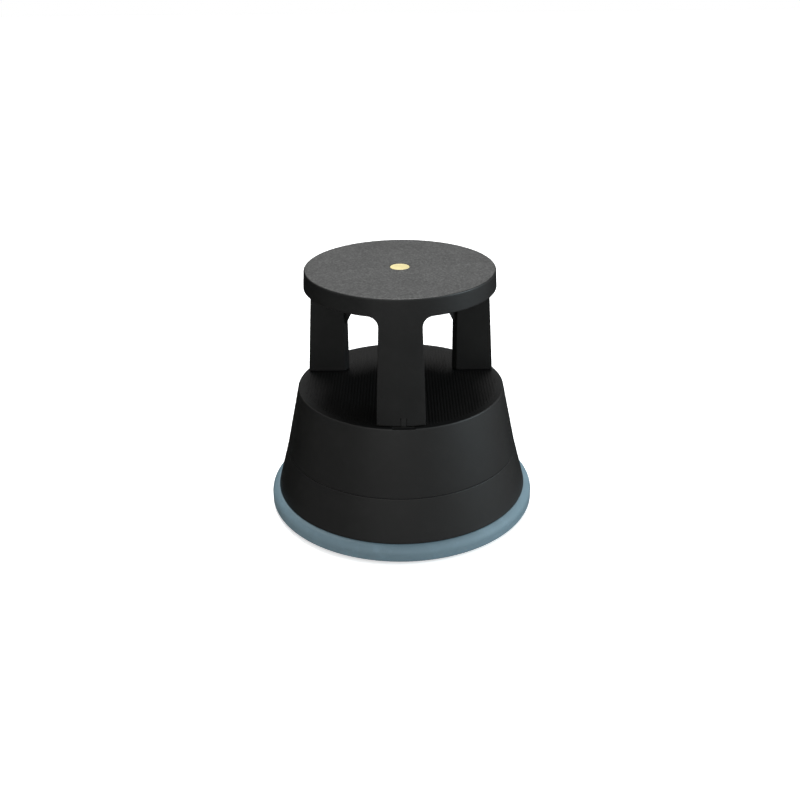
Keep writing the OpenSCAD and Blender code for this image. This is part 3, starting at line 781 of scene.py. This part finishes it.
def lower_step():
    shell = Shell()
    slope = math.atan((SEAM_R - TREAD_R) / (TREAD_Z - SEAM_Z))
    side = WALL / math.cos(slope)
    foot = skin_radius(TREAD_Z)
    hair = 0.05 * MM
    recess_turn = math.asin(RECESS_HALF / TREAD_R)
    recess_side = 0.002
    middles = [a + math.asin(LATCH_OFFSET / TREAD_R) for a in LEG_ANGLES]
    ends = (recess_turn, recess_turn + recess_side)
    cuts = [a + s * t for a in middles for s in (-1, 1) for t in ends]
    angles = sorted(a % math.tau for a in circle(240) + cuts)

    def level(r, a, z):
        """Shallow recess in the tread's edge, in front of each foot."""
        if z < TREAD_Z - 3 * MM or r < foot - 0.2 * MM:
            return z
        near = min(abs((a - b + math.pi) % math.tau - math.pi) for b in middles)
        return min(z, TREAD_Z - RECESS_DEPTH) if near < recess_turn + recess_side / 2 else z

    edge = fillet([
        (cone_radius(SEAM_Z) - side, SEAM_Z, 0.4 * MM), (SEAM_R - 0.1 * MM, SEAM_Z, SEAM_ROUND),
        (TREAD_R, TREAD_Z, EDGE), (foot + hair, TREAD_Z, 0),
    ], closed=False, steps=6)
    profile = [(0, TREAD_UNDER_Z), (cone_radius(TREAD_UNDER_Z) - side, TREAD_UNDER_Z)] + edge
    profile += [(r, TREAD_Z) for r in (foot - 0.4 * MM, 150 * MM, 110 * MM, 60 * MM, 0)]
    lathe(shell, profile, angles, level=level)
    grip_ribs(shell)
    z = TREAD_UNDER_Z - TREAD_RIB_DEPTH
    inner = cone_radius(z) - WALL - MM
    gusset_z = z - 24 * MM
    hub_r, ring_r = 20 * MM, 95 * MM
    start = hub_r - 2 * MM
    for a in circle(12):
        web(shell, [
            (start, z), (inner - 12 * MM, z), (inner, gusset_z), (inner + 1.5 * MM, gusset_z),
            (inner - 2 * MM, TREAD_Z - MM), (start, TREAD_Z - MM),
        ], RIB, a + math.radians(15))
    for r in (hub_r, ring_r):
        ring_wall(shell, r, RIB, z, TREAD_Z - MM)
    for a in LEG_ANGLES:
        leg_collar(shell, a)
    boss_top = SEAM_Z + BASE_BOSS_HEIGHT
    boss = fillet([
        (PILOT_R, SEAM_Z, 0), (BASE_BOSS_R, SEAM_Z, 0),
        (BASE_BOSS_R, boss_top, 0.4 * MM), (PILOT_R, boss_top, 0),
    ], steps=2)
    for a in circle(6):
        place = Matrix.Rotation(a, 4, "Z") @ Matrix.Translation((BASE_BOSS_CIRCLE, 0, 0))
        lathe(shell, boss, circle(28), place)

    # The tread's top faces take the copy of the black plastic with painted shade
    def on_tread(face):
        centre = face.calc_center_median()
        return centre.z > TREAD_Z - RECESS_DEPTH - 0.1 * MM and centre.xy.length < TREAD_R - EDGE

    step = shell.build("lower_step_shell", BLACK, second=GRIP, chosen=on_tread)
    return finish_piece(step, "stool", "black_plastic", "lower_step")


def base_skirt():
    shell = Shell()
    height = SEAM_Z - RING_TOP_Z
    slope = math.atan((SKIRT_R - SEAM_R) / height)
    side = WALL / math.cos(slope)

    def outer(z):
        return SKIRT_R + (SEAM_R - SKIRT_R) * (z - RING_TOP_Z) / height

    shelf = RING_TOP_Z + WALL
    flange_z = SEAM_Z - FLANGE_THICKNESS
    seat = RING_LOW_Z + RING_LIP_HEIGHT
    lathe(shell, fillet([
        (RING_SEAT_R, seat, 0.3 * MM), (RING_SEAT_R, RING_TOP_Z, 0), (SKIRT_R, RING_TOP_Z, SKIRT_FOOT),
        (SEAM_R, SEAM_Z, SEAM_ROUND), (FLANGE_R, SEAM_Z, 0.5 * MM), (FLANGE_R, flange_z, 0.5 * MM),
        (outer(flange_z) - side, flange_z, 1.5 * MM), (outer(shelf) - side, shelf, 1 * MM),
        (RING_SEAT_R - WALL, shelf, 0.8 * MM), (RING_SEAT_R - WALL, seat, 0.3 * MM),
    ], steps=5), circle(240))
    low = RING_TOP_Z + 12 * MM
    near = SEAM_R - 7 * MM
    for a in circle(18):
        web(shell, [
            (near, flange_z + MM), (near, flange_z - 10 * MM),
            (outer(low) - WALL - MM, low), (outer(low) - MM, low), (outer(flange_z) - MM, flange_z + MM),
        ], RIB, a + math.radians(10))
    return finish_piece(shell.build("base_skirt_shell", BLACK), "stool", "black_plastic", "base_skirt")


def bumper_ring():
    shell = Shell()
    crown = 13 * MM
    heel = 2.5 * MM
    lip = RING_SEAT_R - RING_LIP
    profile = [(lip, RING_LOW_Z)]
    profile += [
        (RING_R - heel + heel * c, RING_LOW_Z + heel + heel * s)
        for c, s in turned(evenly(-math.pi / 2, 0, 8))
    ]
    profile += [
        (RING_R - crown + crown * c, RING_TOP_Z - crown + crown * s)
        for c, s in turned(evenly(0, math.pi / 2, 20))
    ]
    lip_z = RING_LOW_Z + RING_LIP_HEIGHT
    profile += [(RING_SEAT_R, RING_TOP_Z), (RING_SEAT_R, lip_z), (lip, lip_z)]
    lathe(shell, profile, circle(256))
    return finish_piece(shell.build("bumper_ring_rubber", BUMPER), "stool", "bumper", "bumper_ring")


def center_cap():
    shell = Shell()
    stem = CAP_HOLE_R - 0.3 * MM
    under = TOP_Z - CAP_DEPTH
    stem_inner = stem - 1.8 * MM
    inside = under - 0.5 * MM
    dish = 0.25 * MM
    profile = fillet([
        (0, inside, 0), (stem_inner, inside, 0.3 * MM), (stem_inner, under - CAP_STEM, 0.3 * MM),
        (stem, under - CAP_STEM, 0.3 * MM), (stem, under, 0.2 * MM),
        (CAP_R, under, 0.2 * MM), (CAP_R, TOP_Z, 0.7 * MM), (CAP_R - 2.2 * MM, TOP_Z, 0.8 * MM),
        (CAP_R - 3.0 * MM, TOP_Z - dish, 0.8 * MM), (0, TOP_Z - dish, 0),
    ], closed=False, steps=5)
    lathe(shell, profile, circle(96))
    return finish_piece(shell.build("center_cap_disc", CAP), "stool", "cap", "center_cap")


# ---------------------------------------------------------------- castors

def castor_centre(i):
    a = LEG_ANGLES[i]
    return Vector((CASTOR_CIRCLE * math.cos(a), CASTOR_CIRCLE * math.sin(a), 0))


def wheel(i, side, word):
    """One wheel: a rounded tyre, a dished web with spokes and a closed hub."""
    shell = Shell()
    hub, rim = AXLE_R + WHEEL_HUB_WALL, WHEEL_R - WHEEL_RIM
    bore, bore_end = AXLE_R + 0.06 * MM, WHEEL_WIDTH - 2 * MM
    inner, outer = WHEEL_WEB
    profile = fillet([
        (0, bore_end, 0), (bore, bore_end, 0), (bore, 0, 0.2 * MM), (hub, 0, 0.4 * MM),
        (hub, inner, 0.5 * MM), (rim, inner, 0.5 * MM), (rim, 0, 0.4 * MM), (WHEEL_R, 0, 2 * MM),
        (WHEEL_R, WHEEL_WIDTH, 2 * MM), (rim, WHEEL_WIDTH, 0.4 * MM), (rim, outer, 0.5 * MM),
        (hub, outer, 0.5 * MM), (hub, WHEEL_WIDTH, 0.5 * MM), (0, WHEEL_WIDTH, 0),
    ], closed=False, steps=4)
    place = Matrix.Translation(castor_centre(i) + Vector((side * WHEEL_GAP, TRAIL, WHEEL_R)))
    turn = Matrix.Rotation(side * math.pi / 2, 4, "Y")
    lathe(shell, profile, circle(96), place @ turn)
    for a in circle(5):
        spoke = [[(x, y, z) for x, y in ((hub - MM, -MM), (rim + MM, -MM), (rim + MM, MM), (hub - MM, MM))]
                 for z in (outer - MM, outer + 1.6 * MM)]
        loft(shell, spoke, place @ turn @ Matrix.Rotation(a, 4, "Z"))
    obj = shell.build(f"wheel_{word}_{i + 1}", WHEEL)
    return finish_piece(obj, f"wheel_{word}_{i + 1}", "wheel", f"castor_wheel_{word}_{i + 1}")


def spring(i):
    """Helical spring wound at an even pitch over the height of the CAD spring."""
    low, high = (corner.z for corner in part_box(f"castor_spring_{i + 1}"))
    centre = castor_centre(i)
    sides, per_turn = 12, 36
    steps = int(SPRING_TURNS * per_turn)
    rise = high - low - 2 * SPRING_WIRE_R
    shell = Shell()
    sections = []
    for k in range(steps + 1):
        a = math.tau * k / per_turn
        z = low + SPRING_WIRE_R + rise * k / steps
        sections.append([
            centre + Vector((
                (SPRING_R + SPRING_WIRE_R * c) * math.cos(a),
                (SPRING_R + SPRING_WIRE_R * c) * math.sin(a),
                z + SPRING_WIRE_R * s,
            )) for c, s in turned(circle(sides))
        ])
    loft(shell, sections)
    obj = shell.build(f"spring_{i + 1}", STEEL)
    finish_piece(obj, "stool", "steel", f"castor_spring_{i + 1}")
    joint = next(j for j in frame["joints"] if j["name"] == f"castor_{i + 1}_retract")
    travel = max(joint["range_m"])
    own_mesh(obj)
    return obj


top_step()
lower_step()
base_skirt()
bumper_ring()
center_cap()
for index in range(len(LEG_ANGLES)):
    wheel(index, -1, "left")
    wheel(index, 1, "right")
    spring(index)

# The other hardware keeps its exact solids, with softened edges and its own finish
FINISHES = {
    "castor_plate": INNER, "castor_housing": INNER, "castor_yoke": INNER,
    "leg_screws": STEEL, "base_screws": STEEL, "housing_screws": STEEL,
    "castor_stem": STEEL, "castor_clip": STEEL, "castor_axle": STEEL,
}
for node_name, node in frame["nodes"].items():
    if node.hide_render:
        continue
    finish = next(m for start, m in FINISHES.items() if node_name.startswith(start))
    for s in node.material_slots:
        s.material = finish
    weld = node.modifiers.new("weld", "WELD")
    weld.merge_threshold = 0.001 * MM
    soften = node.modifiers.new("soften", "BEVEL")
    soften.width = 0.2 * MM
    soften.segments = 2
    soften.limit_method = "ANGLE"
    soften.angle_limit = math.radians(50)
    even = node.modifiers.new("even", "WEIGHTED_NORMAL")
    even.weight = 80

# ---------------------------------------------------------------- studio

FLOOR_HALF = 12.0
FLOOR_LIFT = 0.55
floor_mesh = bpy.data.meshes.new("floor")
floor_corners = [(x * FLOOR_HALF, y * FLOOR_HALF, 0) for x, y in ((-1, -1), (1, -1), (1, 1), (-1, 1))]
floor_mesh.from_pydata(floor_corners, [], [(0, 1, 2, 3)])
floor = bpy.data.objects.new("floor", floor_mesh)
bpy.context.scene.collection.objects.link(floor)
floor_mat = bpy.data.materials.new("floor")
floor_mat.use_nodes = True
floor_shader = floor_mat.node_tree.nodes["Principled BSDF"]
floor_shader.inputs["Base Color"].default_value = (0.9, 0.9, 0.9, 1)
floor_shader.inputs["Roughness"].default_value = 0.9
floor_shader.inputs["Specular IOR Level"].default_value = 0.0
floor_mesh.materials.append(floor_mat)

# The contact shadow is lifted towards white in the picture, without lighting the object
floor_glow = floor_mat.node_tree.nodes.new("ShaderNodeLightPath")
floor_lift = floor_mat.node_tree.nodes.new("ShaderNodeMath")
floor_lift.operation = "MULTIPLY"
floor_lift.inputs[1].default_value = FLOOR_LIFT
floor_mat.node_tree.links.new(floor_glow.outputs["Is Camera Ray"], floor_lift.inputs[0])
floor_shader.inputs["Emission Color"].default_value = (1, 1, 1, 1)
floor_mat.node_tree.links.new(floor_lift.outputs[0], floor_shader.inputs["Emission Strength"])

# The floor lights the object, but its glossy reflection is left to the surroundings below
floor.visible_glossy = False

world = bpy.data.worlds.new("studio")
bpy.context.scene.world = world
world.use_nodes = True
tree = world.node_tree
tree.nodes.clear()


def world_math(operation, a, b=0.0, c=0.0):
    """Math node of the surroundings, fed with numbers or other nodes' outputs."""
    n = tree.nodes.new("ShaderNodeMath")
    n.operation = operation
    for socket, value in zip(n.inputs, (a, b, c)):
        if isinstance(value, (int, float)):
            socket.default_value = value
        else:
            tree.links.new(value, socket)
    return n.outputs[0]


def background(strength):
    n = tree.nodes.new("ShaderNodeBackground")
    if isinstance(strength, float):
        n.inputs["Strength"].default_value = strength
    else:
        tree.links.new(strength, n.inputs["Strength"])
    n.inputs["Color"].default_value = (1, 1, 1, 1)
    return n.outputs[0]


# Dim surroundings, brighter to the right and above and dark below; the visible backdrop is white
coords = tree.nodes.new("ShaderNodeTexCoord")
parts = tree.nodes.new("ShaderNodeSeparateXYZ")
tree.links.new(coords.outputs["Generated"], parts.inputs[0])
x, y, z = (parts.outputs[axis] for axis in "XYZ")
glow = world_math("MULTIPLY_ADD", world_math("MAXIMUM", x, 0.0), 0.55, 0.27)
glow = world_math("MULTIPLY_ADD", world_math("MAXIMUM", z, 0.0), 0.25, glow)
glow = world_math("MULTIPLY_ADD", world_math("MAXIMUM", y, 0.0), -0.60, glow)
fade = tree.nodes.new("ShaderNodeMapRange")
for socket, value in zip(fade.inputs[1:5], (-0.48, -0.05, 0.03, 1.0)):
    socket.default_value = value
tree.links.new(z, fade.inputs[0])
lit = background(world_math("MAXIMUM", world_math("MULTIPLY", glow, fade.outputs[0]), 0.012))
mix = tree.nodes.new("ShaderNodeMixShader")
tree.links.new(tree.nodes.new("ShaderNodeLightPath").outputs["Is Camera Ray"], mix.inputs[0])
tree.links.new(lit, mix.inputs[1])
tree.links.new(background(1.0), mix.inputs[2])
tree.links.new(mix.outputs[0], tree.nodes.new("ShaderNodeOutputWorld").inputs[0])


def aimed(obj, location, target):
    """Places a light so that it shines from its location towards the target."""
    obj.location = location
    obj.rotation_mode = "QUATERNION"
    obj.rotation_quaternion = (Vector(target) - Vector(location)).to_track_quat("-Z", "Y")
    bpy.context.scene.collection.objects.link(obj)


def area_light(name, size, energy, location, colour=(1, 1, 1)):
    """Square soft light aimed at the middle of the stool."""
    data = bpy.data.lights.new(name, "AREA")
    data.size = size
    data.energy = energy
    data.color = colour
    aimed(bpy.data.objects.new(name, data), location, (0, 0, 0.2))


# Key light from above and behind, so that the disc shades the lower tread
key_data = bpy.data.lights.new("key", "SUN")
key_data.energy = 3.0
key_data.angle = math.radians(24)
aimed(bpy.data.objects.new("key", key_data), (-0.02, 0.37, 1.05), (0, 0, 0))
area_light("side", 1.2, 22, (2.0, -0.5, 1.0), (0.72, 0.90, 1.0))
area_light("front", 1.6, 9, (-0.4, -1.9, 1.0))

CAMERA_X = -0.00162
CAMERA_ROLL = -0.0095
AIM_Z = 0.1783
camera_data = bpy.data.cameras.new("camera")
camera_data.lens = 42.78
camera_data.sensor_width = 36
camera = bpy.data.objects.new("camera", camera_data)
bpy.context.scene.collection.objects.link(camera)
bpy.context.scene.camera = camera
camera.location = (CAMERA_X, -1.4590, 0.8848)
camera.rotation_mode = "QUATERNION"
aim = Vector((CAMERA_X, 0, AIM_Z)) - camera.location
roll = Matrix.Rotation(CAMERA_ROLL, 3, "Z").to_quaternion()
camera.rotation_quaternion = aim.to_track_quat("-Z", "Y") @ roll

view = bpy.context.scene.view_settings
view.view_transform = "Standard"
view.look = "None"
view.exposure = 0
view.gamma = 1
